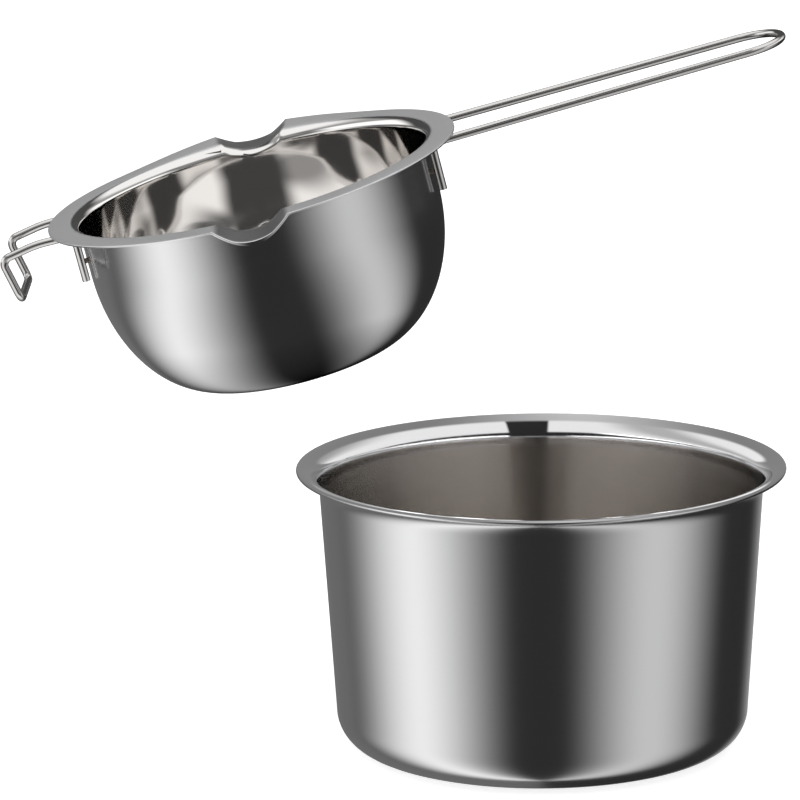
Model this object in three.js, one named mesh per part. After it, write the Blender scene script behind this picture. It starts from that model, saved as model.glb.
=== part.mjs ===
// A wax melting pot with its water pot, both of pressed stainless steel.
// The melting pot is a bowl with a flat rim, two pour spouts, a wire handle and a wire hook.
// It hangs in the water pot when wax is melted, and here it is lifted out and tipped a little.
// Sizes are in millimetres, Z is up, and the water pot stands on Z = 0 with its axis on the origin.
import * as THREE from "three";

// Sheet, wire and the gap left between pieces that are joined.
const SHEET = 0.8;
const WIRE = 3;
const SEAT_GAP = 0.3;

// Water pot.
const WATER_HEIGHT = 105;
const WATER_TOP_RADIUS = 81.5;
const WATER_FOOT_RADIUS = 76.1;
const WATER_FOOT_ROUND = 14;
const WATER_LIP_ROUND = 8.4;
const WATER_HEM = 1.8;

// Melting bowl, measured from the middle of its rim.
const BOWL_HEIGHT = 71.8;
const BOWL_RADIUS = 65.4;
const BOWL_WALL = 20.9;
const BOWL_BASE_RADIUS = 30;
const LIP_ROUND = 3.8;
const FLANGE = 7.9;

// Pour spouts, pressed into the rim at the front and at the rear.
const SPOUT_WIDTH = 25.6;
const SPOUT_DIP = 6.3;
const SPOUT_BULGE = 3.4;
const SPOUT_PULL = 5.5;
const SPOUT_LIFT = 1;
const SPOUT_DEPTH = 14;
const SPOUT_SPREAD = THREE.MathUtils.degToRad(42);
const SPOUT_WALL_DIP = 0.65;

// Wire handle and hook, which aren't quite square to the spouts.
const STAND_OFF = 1;
const WIRE_END = 20.1;
const POST_BEND = 3;
const WELD_RADIUS = 1.2;
const HANDLE_LENGTH = 124;
const HANDLE_SPACING = 33.8;
const HANDLE_END_SPACING = 28.2;
const LOOP_FLAT = 0.01;
const HANDLE_RISE = THREE.MathUtils.degToRad(0.4);
const HANDLE_TURN = THREE.MathUtils.degToRad(4.5);
const HOOK_SPACING = 31.6;
const HOOK_ARM = 4;
const HOOK_PLAY = 2.5;
const HOOK_DROP = 18.4;
const HOOK_DROOP = THREE.MathUtils.degToRad(11);
const HOOK_LEAN = THREE.MathUtils.degToRad(11.6);
const HOOK_SWEEP = 40;
const HOOK_BEND = 3;
const HOOK_TURN = THREE.MathUtils.degToRad(-2.6);

// How the melting pot is held: beside and above the water pot, tipped down at its hook.
const HELD_SIDE = 105;
const HELD_CLEARANCE = 36.5;
const HELD_TILT = THREE.MathUtils.degToRad(13.7);
const HELD_PITCH = THREE.MathUtils.degToRad(3.3);
const HELD_TURN = THREE.MathUtils.degToRad(2.1);

// Facets.
const WATER_FACETS = 64;
const BOWL_FACETS = 120;
const SPOUT_FACETS = 4;
const ARC_STEPS = 3;
const WIRE_SIDES = 10;
const BEND_STEPS = 5;
const LOOP_STEPS = 9;
const WELD_SIDES = 12;

// Sizes that follow from the ones above.
const QUARTER = Math.PI / 2;
const waterRimRadius = WATER_TOP_RADIUS - SHEET + WATER_LIP_ROUND + WATER_HEM / 2;
const rimRadius = BOWL_RADIUS - SHEET + LIP_ROUND + FLANGE;
const wireLevel = -(SHEET + SEAT_GAP + WIRE / 2);
const postRadius = BOWL_RADIUS + STAND_OFF + WIRE / 2;

const steel = (color, roughness) => new THREE.MeshStandardMaterial({ color, roughness, metalness: 1 });
const satinSteel = steel(0xb4b4b6, 0.3);
const polishedSteel = steel(0xc9c8c6, 0.15);
const wireSteel = steel(0xd2d0ce, 0.18);
const weldSteel = steel(0x8d8782, 0.45);

function mesh(name, geometry, material) {
  const piece = new THREE.Mesh(geometry, material);
  piece.name = name;
  return piece;
}

// Turns a sheet profile, drawn as radius and height, into a round vessel that stands along Z.
function turned(profile, facets) {
  return new THREE.LatheGeometry(profile.getPoints(ARC_STEPS), facets).rotateX(QUARTER);
}

// The water pot: flat foot, leaning wall, and a wide rim rolled outwards to a hem.
function waterPot() {
  const footFlat = WATER_FOOT_RADIUS - WATER_FOOT_ROUND;
  const lipLevel = WATER_HEIGHT - WATER_LIP_ROUND;
  const lipCentre = WATER_TOP_RADIUS - SHEET + WATER_LIP_ROUND;
  const underLip = WATER_LIP_ROUND - SHEET;
  const hemRadius = WATER_HEM / 2;
  const hemStart = QUARTER + Math.asin(hemRadius / underLip);
  const profile = new THREE.Path();
  profile.moveTo(0, 0);
  profile.lineTo(footFlat, 0);
  profile.absarc(footFlat, WATER_FOOT_ROUND, WATER_FOOT_ROUND, -QUARTER, 0, false);
  profile.lineTo(WATER_TOP_RADIUS, lipLevel);
  profile.absarc(lipCentre, lipLevel, underLip, Math.PI, hemStart, true);
  profile.absarc(lipCentre, WATER_HEIGHT - hemRadius, hemRadius, -Math.PI, QUARTER, false);
  profile.absarc(lipCentre, lipLevel, WATER_LIP_ROUND, QUARTER, Math.PI, false);
  profile.lineTo(WATER_FOOT_RADIUS - SHEET, WATER_FOOT_ROUND);
  profile.absarc(footFlat, WATER_FOOT_ROUND, WATER_FOOT_ROUND - SHEET, 0, -QUARTER, true);
  profile.lineTo(0, SHEET);
  return mesh("water_pot", turned(profile, WATER_FACETS), satinSteel);
}

// The bowl before its spouts are pressed: flat base, deep rounding, upright wall and flat rim.
function plainBowl() {
  const round = BOWL_RADIUS - BOWL_BASE_RADIUS;
  const drop = BOWL_HEIGHT - BOWL_WALL;
  const lipCentre = BOWL_RADIUS - SHEET + LIP_ROUND;
  const edge = SHEET / 2;
  const profile = new THREE.Path();
  profile.moveTo(0, -BOWL_HEIGHT);
  profile.lineTo(BOWL_BASE_RADIUS, -BOWL_HEIGHT);
  profile.absellipse(BOWL_BASE_RADIUS, -BOWL_WALL, round, drop, -QUARTER, 0, false);
  profile.lineTo(BOWL_RADIUS, -SPOUT_DEPTH);
  profile.lineTo(BOWL_RADIUS, -SPOUT_DEPTH / 2);
  profile.lineTo(BOWL_RADIUS, -LIP_ROUND);
  profile.absarc(lipCentre, -LIP_ROUND, LIP_ROUND - SHEET, Math.PI, QUARTER, true);
  profile.lineTo(rimRadius - edge, -SHEET);
  profile.lineTo(rimRadius, -edge);
  profile.lineTo(rimRadius - edge, 0);
  profile.lineTo(lipCentre, 0);
  profile.absarc(lipCentre, -LIP_ROUND, LIP_ROUND, QUARTER, Math.PI, false);
  profile.lineTo(BOWL_RADIUS - SHEET, -SPOUT_DEPTH / 2);
  profile.lineTo(BOWL_RADIUS - SHEET, -SPOUT_DEPTH);
  profile.lineTo(BOWL_RADIUS - SHEET, -BOWL_WALL);
  profile.absellipse(BOWL_BASE_RADIUS, -BOWL_WALL, round - SHEET, drop - SHEET, 0, -QUARTER, true);
  profile.lineTo(0, SHEET - BOWL_HEIGHT);
  return turned(profile, BOWL_FACETS);
}

// Presses both spouts into the rim. Facets crowd into each spout so that its two creases stay crisp.
// Towards a spout the rim is drawn out and up a little, most at its edge and not at the wall.
// Between the creases it bulges in the same way, and it dips, less at the wall than at its edge.
function pressSpouts(bowl) {
  const crease = Math.asin(SPOUT_WIDTH / 2 / rimRadius);
  const plainCrease = (SPOUT_FACETS / BOWL_FACETS) * 2 * Math.PI;
  const vertices = bowl.attributes.position;
  const flangeStart = BOWL_RADIUS - SHEET;
  for (let i = 0; i < vertices.count; i += 1) {
    const x = vertices.getX(i);
    const y = vertices.getY(i);
    const z = vertices.getZ(i);
    const radius = Math.hypot(x, y);
    const plainAngle = Math.atan2(Math.abs(x), Math.abs(y));
    const inside = Math.min(plainAngle, plainCrease) / plainCrease;
    const outside = Math.max(plainAngle - plainCrease, 0) / (QUARTER - plainCrease);
    const angle = inside * crease + outside * (QUARTER - crease);
    const height = THREE.MathUtils.smoothstep(z, -SPOUT_DEPTH, -LIP_ROUND);
    const across = THREE.MathUtils.clamp((radius - flangeStart) / (rimRadius - flangeStart), 0, 1);
    const channel = Math.cos(QUARTER * inside);
    const near = THREE.MathUtils.clamp((SPOUT_SPREAD - angle) / (SPOUT_SPREAD - crease), 0, 1);
    const drawn = height * near * across;
    const bulge = SPOUT_BULGE * channel * across;
    const dip = SPOUT_DIP * channel * THREE.MathUtils.lerp(SPOUT_WALL_DIP, 1, across);
    const pressed = radius + SPOUT_PULL * drawn + height * bulge;
    const pressedX = Math.sign(x) * pressed * Math.sin(angle);
    const pressedY = Math.sign(y) * pressed * Math.cos(angle);
    vertices.setXYZ(i, pressedX, pressedY, z + SPOUT_LIFT * drawn - height * dip);
  }
  bowl.computeVertexNormals();
  return bowl;
}

// A wire bent at its corners: straight runs joined by round bends, with stations only where it turns.
class BentWire extends THREE.Curve {
  constructor(corners) {
    super();
    const [first, ...inner] = corners;
    const last = inner.pop();
    const along = (from, to) => new THREE.Vector3().subVectors(to.point, from.point).normalize();
    this.stations = [{ point: first.point, tangent: along(first, corners[1]) }];
    inner.forEach((corner, i) => {
      const before = along(corners[i], corner);
      const after = along(corner, corners[i + 2]);
      const turn = before.angleTo(after);
      const reach = corner.bend * Math.tan(turn / 2);
      const start = corner.point.clone().addScaledVector(before, -reach);
      const inwards = after.clone().addScaledVector(before, -Math.cos(turn)).normalize();
      for (let step = 0; step <= corner.steps; step += 1) {
        const angle = (turn * step) / corner.steps;
        const point = start.clone();
        point.addScaledVector(before, corner.bend * Math.sin(angle));
        point.addScaledVector(inwards, corner.bend * (1 - Math.cos(angle)));
        const tangent = before.clone().multiplyScalar(Math.cos(angle));
        tangent.addScaledVector(inwards, Math.sin(angle));
        this.stations.push({ point, tangent });
      }
    });
    this.stations.push({ point: last.point, tangent: along(corners.at(-2), last) });
  }

  station(t) {
    return this.stations[Math.round(t * (this.stations.length - 1))];
  }

  getUtoTmapping(u) {
    return u;
  }

  getPoint(t, target = new THREE.Vector3()) {
    return target.copy(this.station(t).point);
  }

  getTangent(t, target = new THREE.Vector3()) {
    return target.copy(this.station(t).tangent);
  }
}

function corner(x, y, z, bend = 0, steps = BEND_STEPS) {
  return { point: new THREE.Vector3(x, y, z), bend, steps };
}

// Gives the corners of one side of a wire, then the same corners mirrored back along the other side.
function mirrored(side) {
  const back = side.map(({ point, bend, steps }) => corner(point.x, -point.y, point.z, bend, steps));
  return [...side, ...back.reverse()];
}

function bentWire(corners) {
  const path = new BentWire(corners);
  const section = new THREE.Shape().absarc(0, 0, WIRE / 2, 0, 2 * Math.PI);
  const steps = path.stations.length - 1;
  return new THREE.ExtrudeGeometry(section, { steps, extrudePath: path, curveSegments: WIRE_SIDES / 2 });
}

// Distance along X from the bowl's axis to a wire end that stands beside the wall.
function postOffset(spacing) {
  return Math.sqrt(postRadius ** 2 - (spacing / 2) ** 2);
}

// The handle: two ends beside the wall, long arms that rise and close in, and a round end loop.
function longHandle() {
  const post = postOffset(HANDLE_SPACING);
  const tip = rimRadius + HANDLE_LENGTH;
  const side = HANDLE_SPACING / 2;
  const endSide = HANDLE_END_SPACING / 2;
  const rootLevel = wireLevel - (rimRadius - post) * Math.tan(HANDLE_RISE);
  const tipLevel = rootLevel + (tip - post) * Math.tan(HANDLE_RISE);
  const closing = Math.atan2(side - endSide, tip - post);
  const loopBend = (endSide - LOOP_FLAT) / Math.tan((QUARTER - closing) / 2);
  const corners = mirrored([
    corner(post, side, -WIRE_END),
    corner(post, side, rootLevel, POST_BEND),
    corner(tip, endSide, tipLevel, loopBend, LOOP_STEPS),
  ]);
  return mesh("long_handle", bentWire(corners).rotateZ(HANDLE_TURN), wireSteel);
}

// The hook: arms that droop over the water pot's rim, and legs that lean in to a crossbar below it.
function rimHook() {
  const post = postOffset(HOOK_SPACING);
  const side = HOOK_SPACING / 2;
  const reach = waterRimRadius + HOOK_PLAY + WIRE / 2;
  const bar = wireLevel - HOOK_DROP;
  const droopStart = rimRadius + HOOK_ARM;
  const shoulder = wireLevel - (reach - droopStart) * Math.tan(HOOK_DROOP);
  const barReach = reach - (shoulder - bar) * Math.tan(HOOK_LEAN);
  const corners = mirrored([
    corner(-post, side, -WIRE_END),
    corner(-post, side, wireLevel, POST_BEND),
    corner(-droopStart, side, wireLevel, HOOK_SWEEP),
    corner(-reach, side, shoulder, HOOK_BEND),
    corner(-barReach, side, bar, HOOK_BEND),
  ]);
  return mesh("rim_hook", bentWire(corners).rotateZ(HOOK_TURN), wireSteel);
}

// A weld nugget between the wall and a wire end, halfway down the wire end.
function weld(name, direction, spacing, end) {
  const length = STAND_OFF - 2 * SEAT_GAP;
  const middle = BOWL_RADIUS + STAND_OFF / 2;
  const azimuth = Math.asin(spacing / 2 / postRadius);
  const shape = new THREE.CylinderGeometry(WELD_RADIUS, WELD_RADIUS, length, WELD_SIDES);
  const nugget = mesh(name, shape, weldSteel);
  const angle = direction > 0 ? HANDLE_TURN + end * azimuth : Math.PI + HOOK_TURN - end * azimuth;
  const height = (wireLevel - POST_BEND - WIRE_END) / 2;
  nugget.position.set(middle * Math.cos(angle), middle * Math.sin(angle), height);
  nugget.rotation.set(0, 0, angle - QUARTER);
  return nugget;
}

// The melting pot in its own frame, with the middle of its rim on the origin and its spouts along Y.
function meltingPot() {
  const pot = new THREE.Group();
  pot.add(mesh("melting_bowl", pressSpouts(plainBowl()), polishedSteel));
  pot.add(longHandle());
  pot.add(rimHook());
  pot.add(weld("handle_weld_front", 1, HANDLE_SPACING, -1));
  pot.add(weld("handle_weld_rear", 1, HANDLE_SPACING, 1));
  pot.add(weld("hook_weld_front", -1, HOOK_SPACING, -1));
  pot.add(weld("hook_weld_rear", -1, HOOK_SPACING, 1));
  return pot;
}

const held = meltingPot();
held.position.set(-HELD_SIDE, 0, WATER_HEIGHT + HELD_CLEARANCE + BOWL_HEIGHT);
held.rotation.set(HELD_PITCH, -HELD_TILT, HELD_TURN, "YXZ");

const waxMeltingPot = new THREE.Group();
waxMeltingPot.add(waterPot());
waxMeltingPot.add(held);

export default waxMeltingPot;
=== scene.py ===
# %% [markdown]
# # A wax melting pot and the water pot that it hangs in
# The set is two vessels of pressed stainless steel. The small one melts wax, has two pour spouts, a wire
# handle and a wire hook, and hangs in the large one, which holds hot water. Here it is lifted out and tipped
# a little. Solids of both pots are already in place as a frame, so this lesson models fine skins over them,
# gives every skin the finish of the real steel, and lights the set as in a small photo studio.

# %% Load the frame
import math

import bpy
from mathutils import Matrix, Quaternion, Vector


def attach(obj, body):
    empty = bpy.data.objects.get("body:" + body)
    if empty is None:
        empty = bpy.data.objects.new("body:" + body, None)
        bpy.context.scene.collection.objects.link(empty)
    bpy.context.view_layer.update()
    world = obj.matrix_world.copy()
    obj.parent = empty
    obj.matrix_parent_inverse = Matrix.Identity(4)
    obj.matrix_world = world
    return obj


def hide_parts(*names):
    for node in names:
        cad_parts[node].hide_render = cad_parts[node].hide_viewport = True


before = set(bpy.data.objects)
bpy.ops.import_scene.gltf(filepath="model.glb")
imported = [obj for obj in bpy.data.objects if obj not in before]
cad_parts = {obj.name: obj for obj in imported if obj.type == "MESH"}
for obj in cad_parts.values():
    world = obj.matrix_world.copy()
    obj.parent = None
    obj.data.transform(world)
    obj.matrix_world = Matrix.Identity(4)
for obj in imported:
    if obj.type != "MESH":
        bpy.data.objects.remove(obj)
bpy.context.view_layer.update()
scene = bpy.context.scene
scene.view_settings.view_transform = "Standard"
MM = 0.001
print("nodes in the frame:", ", ".join(sorted(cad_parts)))

# %% [markdown]
# ## The camera
# A catalogue picture is taken from far away with a long lens, so that round rims stay calm ellipses.
# The camera stands in front of the set, a little above it, looks down at its middle and leans by a hair.

# %% Camera
CAMERA_PLACE = Vector((0, -1937.9, 543.7))
CAMERA_AIM = Vector((-52, 18.8, 125.5))
CAMERA_ROLL = math.radians(-0.62)
LENS = 243.4
SENSOR = 36

camera = bpy.data.objects.new("camera", bpy.data.cameras.new("camera"))
scene.collection.objects.link(camera)
camera.data.sensor_width = SENSOR
camera.data.lens = LENS
camera.location = CAMERA_PLACE * MM
aiming = (CAMERA_AIM - CAMERA_PLACE).to_track_quat("-Z", "Y")
camera.rotation_euler = (aiming @ Quaternion((0, 0, 1), CAMERA_ROLL)).to_euler()
scene.camera = camera
print("camera at", [round(value, 3) for value in camera.location])

# %% [markdown]
# ## Drawing and turning
# Both vessels are round, so each one starts as a line in the XZ plane and is spun round the Z axis, as a
# metal spinner turns a disc over a form. A line is drawn by extruding one vertex from point to point. Round
# stretches are arcs, worked out from their centre and radius.

# %% Helpers that draw a line and spin it
SAME_POINT = 0.001
SMOOTH_ANGLE = math.radians(50)


def arc(centre, radii, start, end, steps):
    """Points of an arc in the XZ plane, from one angle in degrees to another."""
    angles = [math.radians(start + (end - start) * step / steps) for step in range(steps + 1)]
    return [(centre[0] + radii[0] * math.cos(a), 0, centre[1] + radii[1] * math.sin(a)) for a in angles]


def straight(start, end, rows):
    """Points along a straight run, without its two ends."""
    return [tuple(Vector(start).lerp(Vector(end), row / rows)) for row in range(1, rows)]


def draw_line(name, points):
    """An object with edges through points in millimetres, left in edit mode."""
    bpy.ops.object.select_all(action="DESELECT")
    bpy.ops.mesh.primitive_plane_add(size=MM)
    piece = bpy.context.object
    piece.name = name
    bpy.ops.object.mode_set(mode="EDIT")
    bpy.ops.mesh.merge(type="CENTER")
    bpy.ops.transform.translate(value=Vector(points[0]) * MM)
    for here, there in zip(points, points[1:]):
        step = (Vector(there) - Vector(here)) * MM
        bpy.ops.mesh.extrude_vertices_move(TRANSFORM_OT_translate={"value": step})
    return piece


def close_seams():
    """Merges points that coincide, turns all faces outwards and leaves edit mode."""
    bpy.ops.mesh.select_all(action="SELECT")
    bpy.ops.mesh.remove_doubles(threshold=SAME_POINT * MM)
    bpy.ops.mesh.normals_make_consistent(inside=False)
    bpy.ops.object.mode_set(mode="OBJECT")


def spin_line(facets):
    """Turns the drawn line once round Z and closes its seam and its poles."""
    bpy.ops.mesh.select_all(action="SELECT")
    bpy.ops.mesh.spin(steps=facets, angle=2 * math.pi, center=(0, 0, 0), axis=(0, 0, 1))
    close_seams()


def remember_turning(piece):
    """Keeps each point's place in the pot's own frame, in millimetres, for finishes that follow it."""
    attribute = piece.data.attributes.new("turning", "FLOAT_VECTOR", "POINT")
    for vertex, stored in zip(piece.data.vertices, attribute.data):
        stored.vector = vertex.co / MM


# %% [markdown]
# ## The water pot
# One sheet is deep drawn into a pot with a flat foot, a wall that leans out a little, and a rim that is
# rolled outwards and hemmed, so that its edge isn't sharp. The section shows the sheet's real thickness, and
# so it is drawn all the way round: up the outside, over the hem, and down the inside.

# %% Draw the water pot's section
SHEET = 0.8
WATER_HEIGHT = 105
WATER_TOP_RADIUS = 81.5
WATER_FOOT_RADIUS = 76.1
WATER_FOOT_ROUND = 14
WATER_LIP_ROUND = 8.4
WATER_HEM = 1.8
ROUND_STEPS = 12
WALL_ROWS = 12

foot_flat = WATER_FOOT_RADIUS - WATER_FOOT_ROUND
lip_centre = (WATER_TOP_RADIUS - SHEET + WATER_LIP_ROUND, WATER_HEIGHT - WATER_LIP_ROUND)
hem_radius = WATER_HEM / 2
water_rim = lip_centre[0] + hem_radius
hem_angle = math.degrees(math.asin(hem_radius / (WATER_LIP_ROUND - SHEET)))


def water_side(inset):
    """Foot rounding and wall of one side of the sheet, set in by a thickness."""
    radius = WATER_FOOT_ROUND - inset
    foot = arc((foot_flat, WATER_FOOT_ROUND), (radius, radius), -90, 0, ROUND_STEPS)
    top = (WATER_TOP_RADIUS - inset, 0, lip_centre[1])
    return [(0, 0, inset), *foot, *straight(foot[-1], top, WALL_ROWS), top]


under = arc(lip_centre, [WATER_LIP_ROUND - SHEET] * 2, 180, 90 + hem_angle, ROUND_STEPS)
hem = arc((lip_centre[0], WATER_HEIGHT - hem_radius), [hem_radius] * 2, -180, 90, ROUND_STEPS)
over = arc(lip_centre, [WATER_LIP_ROUND] * 2, 90, 180, ROUND_STEPS)[1:]
outside = water_side(0)
inside = water_side(SHEET)
water_section = [*outside[:-1], *under, *hem, *over, *reversed(inside[:-1])]
print("the water pot's rim is", round(2 * water_rim, 1), "mm across")

# %% Spin the water pot
WATER_FACETS = 256

water_pot = draw_line("water_pot_shell", water_section)
spin_line(WATER_FACETS)
bpy.ops.object.shade_smooth_by_angle(angle=SMOOTH_ANGLE)
remember_turning(water_pot)
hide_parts("water_pot")
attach(water_pot, "water_pot_body")
print("water pot:", len(water_pot.data.polygons), "faces")

# %% [markdown]
# ## The melting bowl
# The bowl is pressed from one sheet as well: a flat base, a deep rounding, a short upright wall, a small lip
# and a flat rim. Two spouts are then pressed into the rim, at the front and at the rear. The top skin is spun
# first, its spouts are pressed by moving its points, and a Solidify modifier gives the sheet its thickness,
# so that the spouts have the same thickness as the wall.

# %% Spin the bowl's top skin
BOWL_HEIGHT = 71.8
BOWL_RADIUS = 65.4
BOWL_WALL = 20.9
BOWL_BASE_RADIUS = 30
LIP_ROUND = 3.8
FLANGE = 7.9
FLANGE_CROWN = 0.25
BOWL_FACETS = 360
BOWL_STEPS = 40
BASE_ROWS = 3
FLANGE_ROWS = 8

bowl_inside = BOWL_RADIUS - SHEET
bowl_lip = (bowl_inside + LIP_ROUND, -LIP_ROUND)
bowl_rim = bowl_lip[0] + FLANGE
floor_level = SHEET - BOWL_HEIGHT
rounding = arc(
    (BOWL_BASE_RADIUS, -BOWL_WALL),
    (bowl_inside - BOWL_BASE_RADIUS, BOWL_HEIGHT - SHEET - BOWL_WALL),
    -90, 0, BOWL_STEPS,
)
base = [(0, 0, floor_level), *straight((0, 0, floor_level), rounding[0], BASE_ROWS)]
lip = arc(bowl_lip, [LIP_ROUND] * 2, 180, 90, ROUND_STEPS)
flange = [
    (bowl_lip[0] + FLANGE * row / FLANGE_ROWS, 0, -FLANGE_CROWN * (row / FLANGE_ROWS) ** 2)
    for row in range(1, FLANGE_ROWS + 1)
]
wall = straight(rounding[-1], lip[0], WALL_ROWS)
bowl = draw_line("melting_bowl_shell", [*base, *rounding, *wall, *lip, *flange])
spin_line(BOWL_FACETS)
print("bowl skin:", len(bowl.data.polygons), "faces")

# %% [markdown]
# The spouts are a shape that no single modelling tool gives, so each point of the skin is moved by a small
# rule. Towards a spout the rim is drawn out and up a little, most at its edge and not at the wall. Between
# the spout's two creases it also bulges and dips, most in the middle. Columns of points are first shifted so
# that one column runs along each crease and keeps it crisp.

# %% Press the spouts
SPOUT_WIDTH = 25.6
SPOUT_DIP = 6.3
SPOUT_BULGE = 3.4
SPOUT_PULL = 5.5
SPOUT_LIFT = 1
SPOUT_DEPTH = 14
SPOUT_SPREAD = math.radians(42)
SPREAD_EASE = 0.5
SPOUT_WALL_DIP = 0.65
SPOUT_COLUMNS = 12
QUARTER = math.pi / 2

crease = math.asin(SPOUT_WIDTH / 2 / bowl_rim)
plain_crease = SPOUT_COLUMNS / BOWL_FACETS * 2 * math.pi


def share(value, low, high):
    """Where a value lies between two others, from 0 to 1."""
    return min(max((value - low) / (high - low), 0), 1)


def smooth_share(value, low, high):
    """The same share with a slow start and a slow end."""
    t = share(value, low, high)
    return t * t * (3 - 2 * t)


def eased(t):
    """A share that starts slowly and then grows at an even pace."""
    slow = t * t / (2 * SPREAD_EASE) if t < SPREAD_EASE else t - SPREAD_EASE / 2
    return slow / (1 - SPREAD_EASE / 2)


def pressed(x, y, z):
    """Where a point of the plain skin goes when the spouts are pressed."""
    radius = math.hypot(x, y)
    plain = math.atan2(abs(x), abs(y))
    inside_spout = min(plain, plain_crease) / plain_crease
    beyond = max(plain - plain_crease, 0) / (QUARTER - plain_crease)
    angle = inside_spout * crease + beyond * (QUARTER - crease)
    height = smooth_share(z, -SPOUT_DEPTH, -LIP_ROUND)
    across = share(radius, bowl_inside, bowl_rim)
    channel = math.cos(QUARTER * inside_spout)
    near = eased(share(SPOUT_SPREAD - angle, 0, SPOUT_SPREAD - crease))
    drawn = height * near * across
    bulge = SPOUT_BULGE * channel * across
    dip = SPOUT_DIP * channel * (SPOUT_WALL_DIP + (1 - SPOUT_WALL_DIP) * across)
    radius += SPOUT_PULL * drawn + height * bulge
    side = math.copysign(radius * math.sin(angle), x)
    depth = math.copysign(radius * math.cos(angle), y)
    return Vector((side, depth, z + SPOUT_LIFT * drawn - height * dip))


for vertex in bowl.data.vertices:
    vertex.co = pressed(*(vertex.co / MM)) * MM
bowl.data.update()
spout_tip = max(vertex.co.y for vertex in bowl.data.vertices) / MM
print("rim from", round(bowl_rim, 1), "mm to", round(spout_tip, 1), "mm at a spout")

# %% [markdown]
# The skin faces the wax, so the sheet grows behind it. The inside is then made a little rounder than the
# outside, because its mirror polish shows the studio as the real one does only with a shorter upright wall.
# A small bevel takes the burr off the sheared edge, as tumbling does. Then the bowl is moved to where it is
# held, and its place is applied to its mesh.

# %% Helpers that finish a piece and put it in place
HELD_SIDE = 105
HELD_CLEARANCE = 36.5
HELD_TILT = math.radians(13.7)
HELD_PITCH = math.radians(3.3)
HELD_TURN = math.radians(2.1)

held = (
    Matrix.Translation(Vector((-HELD_SIDE, 0, WATER_HEIGHT + HELD_CLEARANCE + BOWL_HEIGHT)) * MM)
    @ Matrix.Rotation(-HELD_TILT, 4, "Y")
    @ Matrix.Rotation(HELD_PITCH, 4, "X")
    @ Matrix.Rotation(HELD_TURN, 4, "Z")
)


def use_modifier(piece, kind, **settings):
    """Adds a modifier with its settings and applies it."""
    modifier = piece.modifiers.new(kind.lower(), kind)
    for name, value in settings.items():
        setattr(modifier, name, value)
    bpy.ops.object.modifier_apply(modifier=modifier.name)


def put_in_place(piece, node, turn=0):
    """Turns a piece round the bowl's axis, moves it to where the pot is held, and hands it to its body."""
    piece.matrix_world = held @ Matrix.Rotation(turn, 4, "Z")
    bpy.ops.object.transform_apply(location=True, rotation=True, scale=True)
    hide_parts(node)
    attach(piece, "melting_pot_body")


print("the bowl's rim is held at", round(held.translation.z / MM, 1), "mm")

# %% Thicken the bowl
EDGE_BEVEL = 0.25
EDGE_ANGLE = math.radians(60)
INNER_WALL = 14
INNER_BASE_RADIUS = 28


def rounder(x, y, z):
    """Where a point of the inside goes when its upright wall gets shorter and its rounding longer."""
    radius = math.hypot(x, y)
    if z > -BOWL_WALL:
        return Vector((x, y, z + share(-z, LIP_ROUND, BOWL_WALL) * (BOWL_WALL - INNER_WALL)))
    narrower = (bowl_inside - INNER_BASE_RADIUS) / (bowl_inside - BOWL_BASE_RADIUS)
    taller = (-INNER_WALL - floor_level) / (-BOWL_WALL - floor_level)
    on_base = radius * INNER_BASE_RADIUS / BOWL_BASE_RADIUS
    drawn_in = max(on_base, bowl_inside - (bowl_inside - radius) * narrower)
    scale = drawn_in / radius if radius else 1
    return Vector((x * scale, y * scale, floor_level + (z - floor_level) * taller))


facing = sum(face.normal.z * face.area for face in bowl.data.polygons)
if facing < 0:
    bpy.ops.object.mode_set(mode="EDIT")
    bpy.ops.mesh.select_all(action="SELECT")
    bpy.ops.mesh.flip_normals()
    bpy.ops.object.mode_set(mode="OBJECT")
for _ in ("inside", "outside"):
    bowl.data.materials.append(None)
skin_points = len(bowl.data.vertices)
use_modifier(
    bowl, "SOLIDIFY", thickness=SHEET * MM, offset=-1, use_even_offset=True,
    material_offset=1, material_offset_rim=1,
)
for vertex in bowl.data.vertices[:skin_points]:
    vertex.co = rounder(*(vertex.co / MM)) * MM
use_modifier(
    bowl, "BEVEL", width=EDGE_BEVEL * MM, segments=2, limit_method="ANGLE", angle_limit=EDGE_ANGLE,
)
bpy.ops.object.shade_smooth_by_angle(angle=SMOOTH_ANGLE)
remember_turning(bowl)
put_in_place(bowl, "melting_bowl")
print("bowl:", len(bowl.data.polygons), "faces")

# %% [markdown]
# ## The handle and the hook
# Both are bent from round wire of 3 mm, as a wire former does it: straight runs joined by round bends. The
# line of the wire is drawn from its corners, turned into a curve that has a round section, and made a mesh.
# The cut ends get a small bevel. Neither wire stands quite square to the spouts, so each has its own turn.

# %% Helpers that bend a wire
WIRE = 3
SEAT_GAP = 0.3
STAND_OFF = 1
WIRE_END = 20.1
POST_BEND = 3
BEND_STEPS = 20
WIRE_SIDES = 6
WIRE_END_BEVEL = 0.35

wire_level = -(SHEET + SEAT_GAP + WIRE / 2)
post_radius = BOWL_RADIUS + STAND_OFF + WIRE / 2


def post_offset(spacing):
    """Distance along X from the bowl's axis to a wire end that stands beside the wall."""
    return math.sqrt(post_radius**2 - (spacing / 2) ** 2)


def mirrored(side):
    """Corners of one side of a wire, then the same corners back along the other side."""
    return side + [((x, -y, z), bend) for (x, y, z), bend in reversed(side)]


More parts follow.
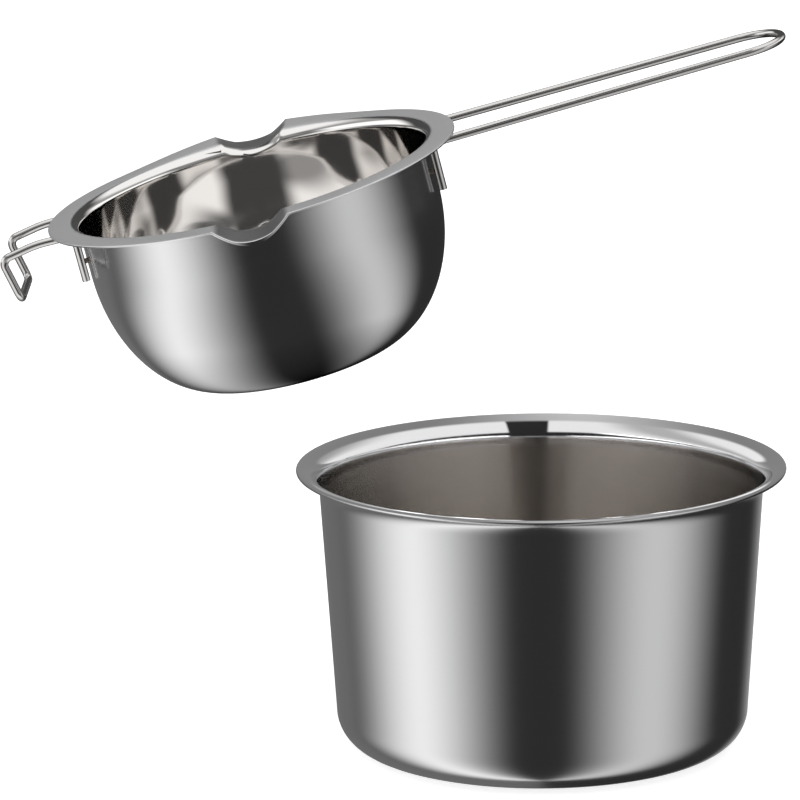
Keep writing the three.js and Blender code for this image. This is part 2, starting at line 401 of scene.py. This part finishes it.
def bent(corners):
    """Points along a wire with an arc of the given bend radius at each inner corner."""
    points = [corners[0][0]]
    for (before, _), (corner, bend), (after, _) in zip(corners, corners[1:], corners[2:]):
        arriving = (Vector(corner) - Vector(before)).normalized()
        leaving = (Vector(after) - Vector(corner)).normalized()
        turn = arriving.angle(leaving)
        start = Vector(corner) - arriving * bend * math.tan(turn / 2)
        inwards = (leaving - arriving * math.cos(turn)).normalized()
        for step in range(BEND_STEPS + 1):
            angle = turn * step / BEND_STEPS
            sideways = inwards * bend * (1 - math.cos(angle))
            points.append(start + arriving * bend * math.sin(angle) + sideways)
    return [*points, corners[-1][0]]


def make_wire(name, node, corners, turn):
    """A round wire along its corners, in its place on the bowl."""
    draw_line(name, bent(corners))
    bpy.ops.object.mode_set(mode="OBJECT")
    bpy.ops.object.convert(target="CURVE")
    curve = bpy.context.object.data
    curve.bevel_depth = WIRE / 2 * MM
    curve.bevel_resolution = WIRE_SIDES
    curve.use_fill_caps = True
    bpy.ops.object.convert(target="MESH")
    piece = bpy.context.object
    bpy.ops.object.mode_set(mode="EDIT")
    close_seams()
    use_modifier(
        piece, "BEVEL", width=WIRE_END_BEVEL * MM, segments=3,
        limit_method="ANGLE", angle_limit=EDGE_ANGLE,
    )
    bpy.ops.object.shade_smooth_by_angle(angle=SMOOTH_ANGLE)
    remember_turning(piece)
    put_in_place(piece, node, turn)
    print(name, len(piece.data.polygons), "faces")
    return piece


# %% Bend the handle
HANDLE_LENGTH = 124
HANDLE_SPACING = 33.8
HANDLE_END_SPACING = 28.2
LOOP_FLAT = 0.01
HANDLE_RISE = math.radians(0.4)
HANDLE_TURN = math.radians(4.5)

handle_post = post_offset(HANDLE_SPACING)
handle_tip = bowl_rim + HANDLE_LENGTH
handle_root_level = wire_level - (bowl_rim - handle_post) * math.tan(HANDLE_RISE)
handle_tip_level = handle_root_level + (handle_tip - handle_post) * math.tan(HANDLE_RISE)
closing = math.atan2((HANDLE_SPACING - HANDLE_END_SPACING) / 2, handle_tip - handle_post)
loop_bend = (HANDLE_END_SPACING / 2 - LOOP_FLAT) / math.tan((QUARTER - closing) / 2)
handle = make_wire("long_handle_wire", "long_handle", mirrored([
    ((handle_post, HANDLE_SPACING / 2, -WIRE_END), 0),
    ((handle_post, HANDLE_SPACING / 2, handle_root_level), POST_BEND),
    ((handle_tip, HANDLE_END_SPACING / 2, handle_tip_level), loop_bend),
]), HANDLE_TURN)

# %% Bend the hook
HOOK_SPACING = 31.6
HOOK_ARM = 4
HOOK_PLAY = 2.5
HOOK_DROP = 18.4
HOOK_DROOP = math.radians(11)
HOOK_LEAN = math.radians(11.6)
HOOK_SWEEP = 40
HOOK_BEND = 3
HOOK_TURN = math.radians(-2.6)

hook_post = post_offset(HOOK_SPACING)
hook_reach = water_rim + HOOK_PLAY + WIRE / 2
hook_bar_level = wire_level - HOOK_DROP
droop_start = bowl_rim + HOOK_ARM
shoulder_level = wire_level - (hook_reach - droop_start) * math.tan(HOOK_DROOP)
bar_reach = hook_reach - (shoulder_level - hook_bar_level) * math.tan(HOOK_LEAN)
hook = make_wire("rim_hook_wire", "rim_hook", mirrored([
    ((-hook_post, HOOK_SPACING / 2, -WIRE_END), 0),
    ((-hook_post, HOOK_SPACING / 2, wire_level), POST_BEND),
    ((-droop_start, HOOK_SPACING / 2, wire_level), HOOK_SWEEP),
    ((-hook_reach, HOOK_SPACING / 2, shoulder_level), HOOK_BEND),
    ((-bar_reach, HOOK_SPACING / 2, hook_bar_level), HOOK_BEND),
]), HOOK_TURN)

# %% [markdown]
# ## The spot welds
# Each wire end is joined to the wall by one small weld, halfway down. A weld is a nugget with a narrow waist
# that spreads over the wall and the wire, and no two are quite alike. A short cylinder gets a ring round its
# middle, the ring is drawn in, and all points are shaken a little before a subdivision smooths them.

# %% Make the welds
WELD_RADIUS = 1.2
WELD_SIDES = 16
WELD_WAIST = 0.75
WELD_BITE = 0.15
WELD_SHAKE = 0.08
WELD_SMOOTHING = 2

weld_level = (wire_level - POST_BEND - WIRE_END) / 2
weld_length = STAND_OFF + 2 * WELD_BITE
weld_middle = BOWL_RADIUS + STAND_OFF / 2


def make_weld(name, direction, spacing, end, seed):
    """A weld on the handle's side, direction 1, or the hook's, -1, at the front end, -1, or the rear, 1."""
    azimuth = math.asin(spacing / 2 / post_radius)
    angle = end * azimuth if direction > 0 else math.pi - end * azimuth
    bpy.ops.object.select_all(action="DESELECT")
    bpy.ops.mesh.primitive_cylinder_add(
        vertices=WELD_SIDES, radius=WELD_RADIUS * MM, depth=weld_length * MM,
    )
    piece = bpy.context.object
    piece.name = name + "_nugget"
    bpy.ops.object.mode_set(mode="EDIT")
    bpy.ops.mesh.select_all(action="SELECT")
    bpy.ops.mesh.bisect(plane_co=(0, 0, 0), plane_no=(0, 0, 1))
    bpy.ops.transform.resize(value=(WELD_WAIST, WELD_WAIST, 1))
    bpy.ops.mesh.select_all(action="SELECT")
    bpy.ops.transform.vertex_random(offset=WELD_SHAKE * MM, seed=seed)
    bpy.ops.object.mode_set(mode="OBJECT")
    use_modifier(piece, "SUBSURF", levels=WELD_SMOOTHING, render_levels=WELD_SMOOTHING)
    bpy.ops.object.shade_smooth()
    piece.matrix_world = (
        Matrix.Rotation(angle, 4, "Z")
        @ Matrix.Translation(Vector((weld_middle, 0, weld_level)) * MM)
        @ Matrix.Rotation(QUARTER, 4, "Y")
    )
    bpy.ops.object.transform_apply(location=True, rotation=True, scale=True)
    put_in_place(piece, name, HANDLE_TURN if direction > 0 else HOOK_TURN)
    return piece


welds = [
    make_weld("handle_weld_front", 1, HANDLE_SPACING, -1, 1),
    make_weld("handle_weld_rear", 1, HANDLE_SPACING, 1, 2),
    make_weld("hook_weld_front", -1, HOOK_SPACING, -1, 3),
    make_weld("hook_weld_rear", -1, HOOK_SPACING, 1, 4),
]
print("welds:", [weld.name for weld in welds])

# %% [markdown]
# ## The finishes
# All of it is stainless steel, and what differs is how each surface was worked. The walls outside were belt
# ground to a soft satin, which blurs reflections. The bowl inside was buffed to a mirror. The water pot
# inside still has the fine rings of the lathe. The wire was drawn through a die and polished. A metal has no
# colour of its own apart from its reflections, so each finish is mostly its roughness and its fine lines. The
# water pot's inside also gets a darker, browner colour, which is painted shade of its deep inside.

# %% Helpers for materials
def linear(code):
    """A colour written as an sRGB hex value, as linear red, green, blue and alpha."""
    values = [int(code[i:i + 2], 16) / 255 for i in (1, 3, 5)]
    return [v / 12.92 if v <= 0.04045 else ((v + 0.055) / 1.055) ** 2.4 for v in values] + [1]


def feed(tree, node, inputs):
    """Gives each input of a node a value, or a link from a socket or from another node's first output."""
    for name, value in inputs.items():
        source = value.outputs[0] if isinstance(value, bpy.types.Node) else value
        if isinstance(source, bpy.types.NodeSocket):
            tree.links.new(source, node.inputs[name])
        else:
            node.inputs[name].default_value = source


def add_node(tree, kind, inputs=None, **settings):
    """Adds a node with its settings, and feeds its inputs."""
    node = tree.nodes.new(kind)
    for name, value in settings.items():
        setattr(node, name, value)
    feed(tree, node, inputs or {})
    return node


def new_metal(name, colour):
    """A material with a metal shader of one colour."""
    material = bpy.data.materials.new(name)
    material.use_nodes = True
    tree = material.node_tree
    shader = tree.nodes["Principled BSDF"]
    feed(tree, shader, {"Metallic": 1, "Base Color": linear(colour)})
    return material, tree, shader


# %% Helpers for patterns on the steel
def soft_range(tree, value, low, high, soft):
    """1 between two values and 0 outside them, with soft edges."""
    rise, fall = [
        add_node(
            tree, "ShaderNodeMapRange",
            {"Value": value, "From Min": start, "From Max": end}, interpolation_type="SMOOTHSTEP",
        )
        for start, end in ((low - soft, low + soft), (high + soft, high - soft))
    ]
    return add_node(tree, "ShaderNodeMath", {0: rise, 1: fall}, operation="MULTIPLY")


def turning_lines(tree, pitch, run):
    """Fine lines round the pot's axis: pitch is their spacing and run their length, in millimetres.
    The distance across them is radius plus height, which grows along a wall and along a flat rim alike.
    The radius and the height are given back too."""
    place = add_node(tree, "ShaderNodeAttribute", attribute_name="turning").outputs["Vector"]
    part = add_node(tree, "ShaderNodeSeparateXYZ", {"Vector": place}).outputs
    flat = add_node(tree, "ShaderNodeCombineXYZ", {"X": part["X"], "Y": part["Y"]})
    radius = add_node(tree, "ShaderNodeVectorMath", {0: flat}, operation="LENGTH").outputs["Value"]
    across = add_node(tree, "ShaderNodeMath", {0: radius, 1: part["Z"]}, operation="ADD")
    lines = add_node(tree, "ShaderNodeMath", {0: across, 1: 1 / pitch}, operation="MULTIPLY")
    along = add_node(tree, "ShaderNodeVectorMath", {0: flat, "Scale": 1 / run}, operation="SCALE")
    lay = add_node(tree, "ShaderNodeSeparateXYZ", {"Vector": along}).outputs
    vector = add_node(tree, "ShaderNodeCombineXYZ", {"X": lay["X"], "Y": lay["Y"], "Z": lines})
    noise = add_node(
        tree, "ShaderNodeTexNoise", {"Vector": vector, "Scale": 1, "Detail": 3, "Roughness": 0.6},
    )
    return noise, radius, part["Z"]


def blend_finishes(tree, shader, lines, amount, first, second):
    """Gives a shader the first finish where amount is 0 and the second where it is 1.
    A finish is a colour and two limits of roughness, and the lines vary it between them."""
    levels = [
        add_node(tree, "ShaderNodeMapRange", {"Value": lines, "To Min": low, "To Max": high})
        for _, low, high in (first, second)
    ]
    roughness = add_node(
        tree, "ShaderNodeMix", {"Factor": amount, "A": levels[0], "B": levels[1]}, data_type="FLOAT",
    )
    colour = add_node(
        tree, "ShaderNodeMix",
        {"Factor": amount, "A": linear(first[0]), "B": linear(second[0])}, data_type="RGBA",
    )
    feed(tree, shader, {"Roughness": roughness, "Base Color": colour.outputs["Result"]})


# %% [markdown]
# ### Satin steel, for the walls outside
# Stainless sheet that a belt has ground round and round, then brushed soft. Single scratches are finer than
# a picture shows, so the lines here are drawn coarser, and they only vary the roughness a little.

# %% Satin steel
STEEL = "#dcdcdd"
SATIN_PITCH = 0.5
SATIN_RUN = 40
SATIN_DEPTH = 0.02

satin, tree, shader = new_metal("satin_stainless_steel", STEEL)
lines, _, _ = turning_lines(tree, SATIN_PITCH, SATIN_RUN)
roughness = add_node(tree, "ShaderNodeMapRange", {"Value": lines, "To Min": 0.14, "To Max": 0.19})
bump = add_node(tree, "ShaderNodeBump", {"Height": lines, "Strength": 0.02, "Distance": SATIN_DEPTH * MM})
feed(tree, shader, {"Roughness": roughness, "Normal": bump})
print("made", satin.name)

# %% [markdown]
# ### Mirror steel, for the bowl's inside
# The inside is buffed until it reflects like a mirror, and pressing leaves it slightly wavy, so reflections
# in it have uneven edges. The lip is as bright as the wall. The flat rim outside it stays satin, and pressing
# has rubbed it half smooth in the spouts.

# %% Mirror steel
MIRROR_FINISH = ("#e8e6e4", 0.03, 0.06)
FLANGE_FINISH = (STEEL, 0.48, 0.58)
POLISH_END = bowl_lip[0] - 1.8
SATIN_START = bowl_lip[0] - 0.2
SPOUT_POLISH = 0.5
SPOUT_POLISH_EDGE = 1.5
WAVE_SIZE = 14
WAVE_DEPTH = 0.5

mirror, tree, shader = new_metal("mirror_polished_stainless_steel", MIRROR_FINISH[0])
lines, radius, _ = turning_lines(tree, SATIN_PITCH, SATIN_RUN)
flange_share = add_node(
    tree, "ShaderNodeMapRange",
    {"Value": radius, "From Min": POLISH_END, "From Max": SATIN_START}, interpolation_type="SMOOTHSTEP",
)
place = add_node(tree, "ShaderNodeAttribute", attribute_name="turning").outputs["Vector"]
side = add_node(tree, "ShaderNodeSeparateXYZ", {"Vector": place}).outputs["X"]
spout_share = soft_range(tree, side, -SPOUT_WIDTH / 2, SPOUT_WIDTH / 2, SPOUT_POLISH_EDGE)
smoother = add_node(tree, "ShaderNodeMath", {0: spout_share, 1: SPOUT_POLISH}, operation="MULTIPLY")
unpolished = add_node(tree, "ShaderNodeMath", {0: 1, 1: smoother}, operation="SUBTRACT")
satin_share = add_node(tree, "ShaderNodeMath", {0: flange_share, 1: unpolished}, operation="MULTIPLY")
blend_finishes(tree, shader, lines, satin_share, MIRROR_FINISH, FLANGE_FINISH)
waves = add_node(tree, "ShaderNodeTexNoise", {"Vector": place, "Scale": 1 / WAVE_SIZE, "Detail": 1})
bump = add_node(tree, "ShaderNodeBump", {"Height": waves, "Strength": 0.006, "Distance": WAVE_DEPTH * MM})
feed(tree, shader, {"Normal": bump})
print("made", mirror.name)

# %% [markdown]
# ### Lathe-brushed steel with painted shade, for the water pot's inside
# A brush held against the turning pot leaves fine level lines, a little uneven from place to place. They blur
# reflections up and down much more than sideways, so the shader is anisotropic. The wall's colour is darker
# and browner than the steel outside: painted shade of the pot's deep inside. The rolled rim is polished
# smooth and keeps the steel's own colour.

# %% Lathe-brushed steel with painted shade
# The colour of this finish is painted shade, darker and browner than the steel outside.
BRUSHED_FINISH_PAINTED_SHADE = ("#b6b0aa", 0.2, 0.28)
RIM_FINISH = (STEEL, 0.05, 0.09)
RIM_BLEND = 3
BRUSH_PITCH = 0.9
BRUSH_RUN = 25
QUARTER_TURN = 0.25

brushed_steel_painted_shade, tree, shader = new_metal("lathe_brushed_steel_painted_shade", BRUSHED_FINISH_PAINTED_SHADE[0])
lines, _, height = turning_lines(tree, BRUSH_PITCH, BRUSH_RUN)
rim_start = lip_centre[1]
rim_share = add_node(
    tree, "ShaderNodeMapRange",
    {"Value": height, "From Min": rim_start - RIM_BLEND, "From Max": rim_start},
    interpolation_type="SMOOTHSTEP",
)
blend_finishes(tree, shader, lines, rim_share, BRUSHED_FINISH_PAINTED_SHADE, RIM_FINISH)
round_pot = add_node(tree, "ShaderNodeTangent", direction_type="RADIAL", axis="Z")
feed(tree, shader, {"Anisotropic": 1, "Anisotropic Rotation": QUARTER_TURN, "Tangent": round_pot})
print("made", brushed_steel_painted_shade.name)

# %% [markdown]
# ### Drawn wire and weld
# Wire keeps faint marks of its die and is then polished bright. A weld is left as it cooled: grey, matt, with
# a little heat colour.

# %% Wire and weld
WIRE_MARK = 0.6
WELD_GRAIN = 0.4

wire, tree, shader = new_metal("bright_drawn_steel_wire", "#d6d4d2")
place = add_node(tree, "ShaderNodeAttribute", attribute_name="turning").outputs["Vector"]
marks = add_node(tree, "ShaderNodeTexNoise", {"Vector": place, "Scale": 1 / WIRE_MARK, "Detail": 2})
roughness = add_node(tree, "ShaderNodeMapRange", {"Value": marks, "To Min": 0.1, "To Max": 0.2})
feed(tree, shader, {"Roughness": roughness})

weld_metal, tree, shader = new_metal("cooled_weld_steel", "#8f8a86")
place = add_node(tree, "ShaderNodeTexCoord").outputs["Object"]
grain = add_node(tree, "ShaderNodeTexNoise", {"Vector": place, "Scale": 1 / (WELD_GRAIN * MM), "Detail": 3})
tint = add_node(
    tree, "ShaderNodeMix",
    {"Factor": grain, "A": linear("#6f6a68"), "B": linear("#a69a8c")}, data_type="RGBA",
)
roughness = add_node(tree, "ShaderNodeMapRange", {"Value": grain, "To Min": 0.35, "To Max": 0.6})
feed(tree, shader, {"Base Color": tint.outputs["Result"], "Roughness": roughness})
print("made", wire.name, "and", weld_metal.name)

# %% [markdown]
# ## Giving each surface its finish
# One piece can carry several finishes. The bowl's two sides were told apart when its sheet was thickened. The
# water pot's faces are told apart by where they lie in the pot's own frame.

# %% Assign the finishes
def paint(piece, material, chosen):
    """Gives a finish to the faces whose middle passes the test, in the pot's own frame."""
    piece.data.materials.append(material)
    slot = len(piece.data.materials) - 1
    turning = piece.data.attributes["turning"].data
    for face in piece.data.polygons:
        corners = [turning[i].vector for i in face.vertices]
        if chosen(sum(corners, Vector()) / len(corners)):
            face.material_index = slot


def water_inside(place):
    """True inside the wall, and on the rim's top."""
    radius = math.hypot(place.x, place.y)
    lean = (WATER_TOP_RADIUS - WATER_FOOT_RADIUS) / (lip_centre[1] - WATER_FOOT_ROUND)
    wall_middle = WATER_FOOT_RADIUS - SHEET / 2 + lean * (place.z - WATER_FOOT_ROUND)
    if place.z > lip_centre[1]:
        return math.hypot(radius - lip_centre[0], place.z - lip_centre[1]) > WATER_LIP_ROUND - SHEET / 2
    if place.z > WATER_FOOT_ROUND:
        return radius < wall_middle
    if radius < foot_flat:
        return place.z > SHEET / 2
    return math.hypot(radius - foot_flat, place.z - WATER_FOOT_ROUND) < WATER_FOOT_ROUND - SHEET / 2


paint(water_pot, satin, lambda place: True)
# The inside gets the brushed finish, whose darker, browner colour is painted shade.
paint(water_pot, brushed_steel_painted_shade, water_inside)
bowl.data.materials[0] = mirror
bowl.data.materials[1] = satin
for piece in (handle, hook):
    piece.data.materials.append(wire)
for piece in welds:
    piece.data.materials.append(weld_metal)
print("finishes on the water pot:", [material.name for material in water_pot.data.materials])

# %% [markdown]
# ## The studio
# Metal shows what stands around it, so the studio is built for its reflections: a pale roof, a cloth at the
# left and one at the right, a dark wall at the back, a dim one in front, and a dark opening over the camera.
# Below the horizon lie a strong light at the left, a weaker one at the right and a dim back. All of it is
# drawn on the world as panels, each one a range of directions with soft edges. A camera ray that meets no
# object sees plain white, as behind a cut-out picture.

# %% Helpers for light
def bearing(tree, x, y):
    """The direction of a place seen from above, in degrees: 0 is the camera's side and 90 the right."""
    forward = add_node(tree, "ShaderNodeMath", {0: y, 1: -1}, operation="MULTIPLY")
    angle = add_node(tree, "ShaderNodeMath", {0: x, 1: forward}, operation="ARCTAN2")
    return add_node(tree, "ShaderNodeMath", {0: angle}, operation="DEGREES")


def lay_band(tree, level, value, low, high, soft, brightness):
    """A brightness laid over a level where a value lies between two others, with soft edges."""
    mask = soft_range(tree, value, low, high, soft)
    return add_node(tree, "ShaderNodeMix", {"Factor": mask, "A": level, "B": brightness}, data_type="FLOAT")


# %% World
# Each row: azimuth from, azimuth to, its softness, elevation from, elevation to, its softness, brightness.
# A panel lies over those before it.
PANELS = {
    "back, low left": (-190, -120, 20, -100, 8, 6, 0.17),
    "back, low right": (158, 190, 18, -30, 8, 6, 0.4),
    "left light, low": (-100, -44, 32, -100, 8, 6, 1.2),
    "right light, low": (36, 90, 26, -100, 8, 6, 0.74),
    "back wall, left": (-190, -120, 6, 2, 60, 4, 0.075),
    "back wall, right": (120, 190, 6, 2, 60, 4, 0.075),
    "left cloth, high": (-130, -55, 12, 20, 100, 6, 0.4),
    "right cloth, high": (55, 142, 15, 20, 100, 6, 0.4),
    "left cloth": (-130, -55, 12, 2, 26, 3, 1.3),
    "right cloth": (55, 142, 15, 9, 27, 4, 1.3),
    "front, high": (-50, 50, 10, 15, 100, 6, 0.3),
    "roof": (-190, 190, 1, 43, 100, 8, 1.1),
    "camera slot": (-6, 8, 1.5, 30, 84, 4, 0.04),
}
DARK_ROOM = 0.03

world = bpy.data.worlds.new("studio")
scene.world = world
world.use_nodes = True
tree = world.node_tree
tree.nodes.clear()
direction = add_node(tree, "ShaderNodeTexCoord").outputs["Generated"]
part = add_node(tree, "ShaderNodeSeparateXYZ", {"Vector": direction}).outputs
azimuth = bearing(tree, part["X"], part["Y"])
slope = add_node(tree, "ShaderNodeMath", {0: part["Z"]}, operation="ARCSINE")
elevation = add_node(tree, "ShaderNodeMath", {0: slope}, operation="DEGREES")
level = DARK_ROOM
for left, right, side_soft, low, high, height_soft, brightness in PANELS.values():
    across = soft_range(tree, azimuth, left, right, side_soft)
    upwards = soft_range(tree, elevation, low, high, height_soft)
    mask = add_node(tree, "ShaderNodeMath", {0: across, 1: upwards}, operation="MULTIPLY")
    level = add_node(tree, "ShaderNodeMix", {"Factor": mask, "A": level, "B": brightness}, data_type="FLOAT")
ray = add_node(tree, "ShaderNodeLightPath").outputs
studio = add_node(tree, "ShaderNodeBackground", {"Color": level})
white = add_node(tree, "ShaderNodeBackground", {"Color": linear("#ffffff")})
seen = add_node(tree, "ShaderNodeMixShader", {0: ray["Is Camera Ray"], 1: studio, 2: white})
add_node(tree, "ShaderNodeOutputWorld", {"Surface": seen})
print("studio panels:", len(PANELS))

# %% [markdown]
# ## The floor
# A plain white floor carries the water pot and keeps its soft shadow. Rays that the metal sends out pass
# through it, because the pots of a cut-out picture show the studio and no table.

# %% Floor
FLOOR_SIZE = 12000
FLOOR_DROP = 0.1
FLOOR_GLOW = 0.72


def stage_plane(name, size, level, material_name):
    """A flat plane at a height in millimetres, with a new material that has no nodes yet."""
    bpy.ops.object.select_all(action="DESELECT")
    bpy.ops.mesh.primitive_plane_add(size=size * MM, location=(0, 0, level * MM))
    plane = bpy.context.object
    plane.name = name
    material = bpy.data.materials.new(material_name)
    material.use_nodes = True
    material.node_tree.nodes.clear()
    plane.data.materials.append(material)
    return plane, material.node_tree


floor, tree = stage_plane("floor", FLOOR_SIZE, -FLOOR_DROP, "white_paper_floor")
ray = add_node(tree, "ShaderNodeLightPath").outputs
paper = add_node(tree, "ShaderNodeBsdfDiffuse", {"Color": linear("#e6e6e6")})
strength = add_node(tree, "ShaderNodeMath", {0: ray["Is Camera Ray"], 1: FLOOR_GLOW}, operation="MULTIPLY")
glow = add_node(tree, "ShaderNodeEmission", {"Strength": strength})
lit = add_node(tree, "ShaderNodeAddShader", {0: paper, 1: glow})
passing = add_node(
    tree, "ShaderNodeMath", {0: ray["Is Glossy Ray"], 1: ray["Is Shadow Ray"]}, operation="MAXIMUM",
)
clear = add_node(tree, "ShaderNodeBsdfTransparent")
surface = add_node(tree, "ShaderNodeMixShader", {0: passing, 1: lit, 2: clear})
add_node(tree, "ShaderNodeOutputMaterial", {"Surface": surface})
print("floor made")

# %% [markdown]
# ## The card between the pots
# Two shiny things close together show each other. A photographer puts a card between them, so that each one
# shows calm bands of light instead of the other pot. This card lies just over the water pot, and only rays
# that the metal sends out see it. The camera and the light go through. Its upper side is graded round the
# bowl, as the studio is, and fades under the bowl's middle.

# %% Upper side of the card
CARD_SIZE = 6000
CARD_LIFT = 6
CARD_MIDDLE = Vector((-77, 21))
CARD_FADE = (10, 100)
# Each row: azimuth from, azimuth to, its softness, brightness.
CARD_BANDS = {
    "back": (-190, -92, 20, 0.18),
    "left light": (-74, -33, 24, 1.2),
    "right light": (38, 89, 26, 0.74),
}

card, tree = stage_plane("graded_card", CARD_SIZE, WATER_HEIGHT + CARD_LIFT, "graded_card")
geometry = add_node(tree, "ShaderNodeNewGeometry").outputs
place = add_node(tree, "ShaderNodeVectorMath", {0: geometry["Position"], "Scale": 1 / MM}, operation="SCALE")
part = add_node(tree, "ShaderNodeSeparateXYZ", {"Vector": place}).outputs
beside = add_node(tree, "ShaderNodeMath", {0: part["X"], 1: CARD_MIDDLE.x}, operation="SUBTRACT")
behind = add_node(tree, "ShaderNodeMath", {0: part["Y"], 1: CARD_MIDDLE.y}, operation="SUBTRACT")
azimuth = bearing(tree, beside, behind)
upper = DARK_ROOM
for band in CARD_BANDS.values():
    upper = lay_band(tree, upper, azimuth, *band)
offset = add_node(tree, "ShaderNodeCombineXYZ", {"X": beside, "Y": behind})
distance = add_node(tree, "ShaderNodeVectorMath", {0: offset}, operation="LENGTH").outputs["Value"]
fade = add_node(
    tree, "ShaderNodeMapRange", {"Value": distance, "From Min": CARD_FADE[0], "From Max": CARD_FADE[1]},
)
upper = add_node(tree, "ShaderNodeMath", {0: upper, 1: fade}, operation="MULTIPLY")
print("card at", WATER_HEIGHT + CARD_LIFT, "mm")

# %% [markdown]
# The lower side is a pale ceiling over the rolled rim, dimmer towards its ends, and grey further out. Over
# the pot's mouth it is dark with a few bright strips from front to back, which the brushed wall shows as
# upright bands. One dark slit runs across it. A round wall brings light together half a radius in front of
# it, so the slit narrows to nothing there, and the wall shows it with straight sides.

# %% Lower side of the card
# A range of radii that starts below zero has no inner edge.
FROM_MIDDLE = -10
CEILING_RADIUS = 84
CEILING_EDGE = 1.5
CEILING_LEVEL = 1.1
# Each row here and below: X from, X to, its softness, brightness.
CEILING_BANDS = {
    "left": (-200, -58, 14, 0.45),
    "dim right": (26, 48, 8, 0.6),
    "left end": (-200, -84, 4, 0.15),
    "right end": (82, 200, 4, 0.15),
}
MOUTH_RADIUS = 58
MOUTH_EDGE = 4
MOUTH_LEVEL = 0.02
STRIP = 4.2
MOUTH_STRIPS = {
    "far left": (-52, -42, 2, STRIP),
    "left": (-31, -20, 2, STRIP),
    "middle": (9, 14, 1.5, STRIP),
    "right": (22, 29, 2, STRIP),
    "far right": (40, 48, 2, STRIP),
}
SLIT = (-12, 2.6, 0.6, 0.03)
CREST_LEVEL = 0.28
CREST_MIDDLE = (-10, 40, 35, 0.75)
CREST_END = 160
CREST_EDGE = 2

flat = add_node(tree, "ShaderNodeCombineXYZ", {"X": part["X"], "Y": part["Y"]})
radius = add_node(tree, "ShaderNodeVectorMath", {0: flat}, operation="LENGTH").outputs["Value"]
ceiling = CEILING_LEVEL
for band in CEILING_BANDS.values():
    ceiling = lay_band(tree, ceiling, part["X"], *band)
mouth = MOUTH_LEVEL
for strip in MOUTH_STRIPS.values():
    mouth = lay_band(tree, mouth, part["X"], *strip)
ceiling = lay_band(tree, ceiling, radius, FROM_MIDDLE, MOUTH_RADIUS, MOUTH_EDGE, mouth)
depth = add_node(tree, "ShaderNodeMath", {0: part["Y"], 1: 2 / WATER_TOP_RADIUS}, operation="MULTIPLY")
past_focus = add_node(tree, "ShaderNodeMath", {0: depth, 1: 1}, operation="SUBTRACT")
spread = add_node(tree, "ShaderNodeMath", {0: part["X"], 1: past_focus}, operation="DIVIDE")
ceiling = lay_band(tree, ceiling, spread, *SLIT)
crest = lay_band(tree, CREST_LEVEL, part["X"], *CREST_MIDDLE)
lower = lay_band(tree, crest, radius, FROM_MIDDLE, CEILING_RADIUS, CEILING_EDGE, ceiling)
covered = soft_range(tree, radius, FROM_MIDDLE, CREST_END, CREST_EDGE)
print("strips over the mouth:", len(MOUTH_STRIPS))

# %% Both sides of the card
below = geometry["Backfacing"]
ray = add_node(tree, "ShaderNodeLightPath").outputs
level = add_node(tree, "ShaderNodeMix", {"Factor": below, "A": upper, "B": lower}, data_type="FLOAT")
extent = add_node(tree, "ShaderNodeMix", {"Factor": below, "A": 1, "B": covered}, data_type="FLOAT")
shown = add_node(tree, "ShaderNodeMath", {0: ray["Is Glossy Ray"], 1: extent}, operation="MULTIPLY")
glow = add_node(tree, "ShaderNodeEmission", {"Color": level})
clear = add_node(tree, "ShaderNodeBsdfTransparent")
surface = add_node(tree, "ShaderNodeMixShader", {0: shown, 1: clear, 2: glow})
add_node(tree, "ShaderNodeOutputMaterial", {"Surface": surface})
print("card made")
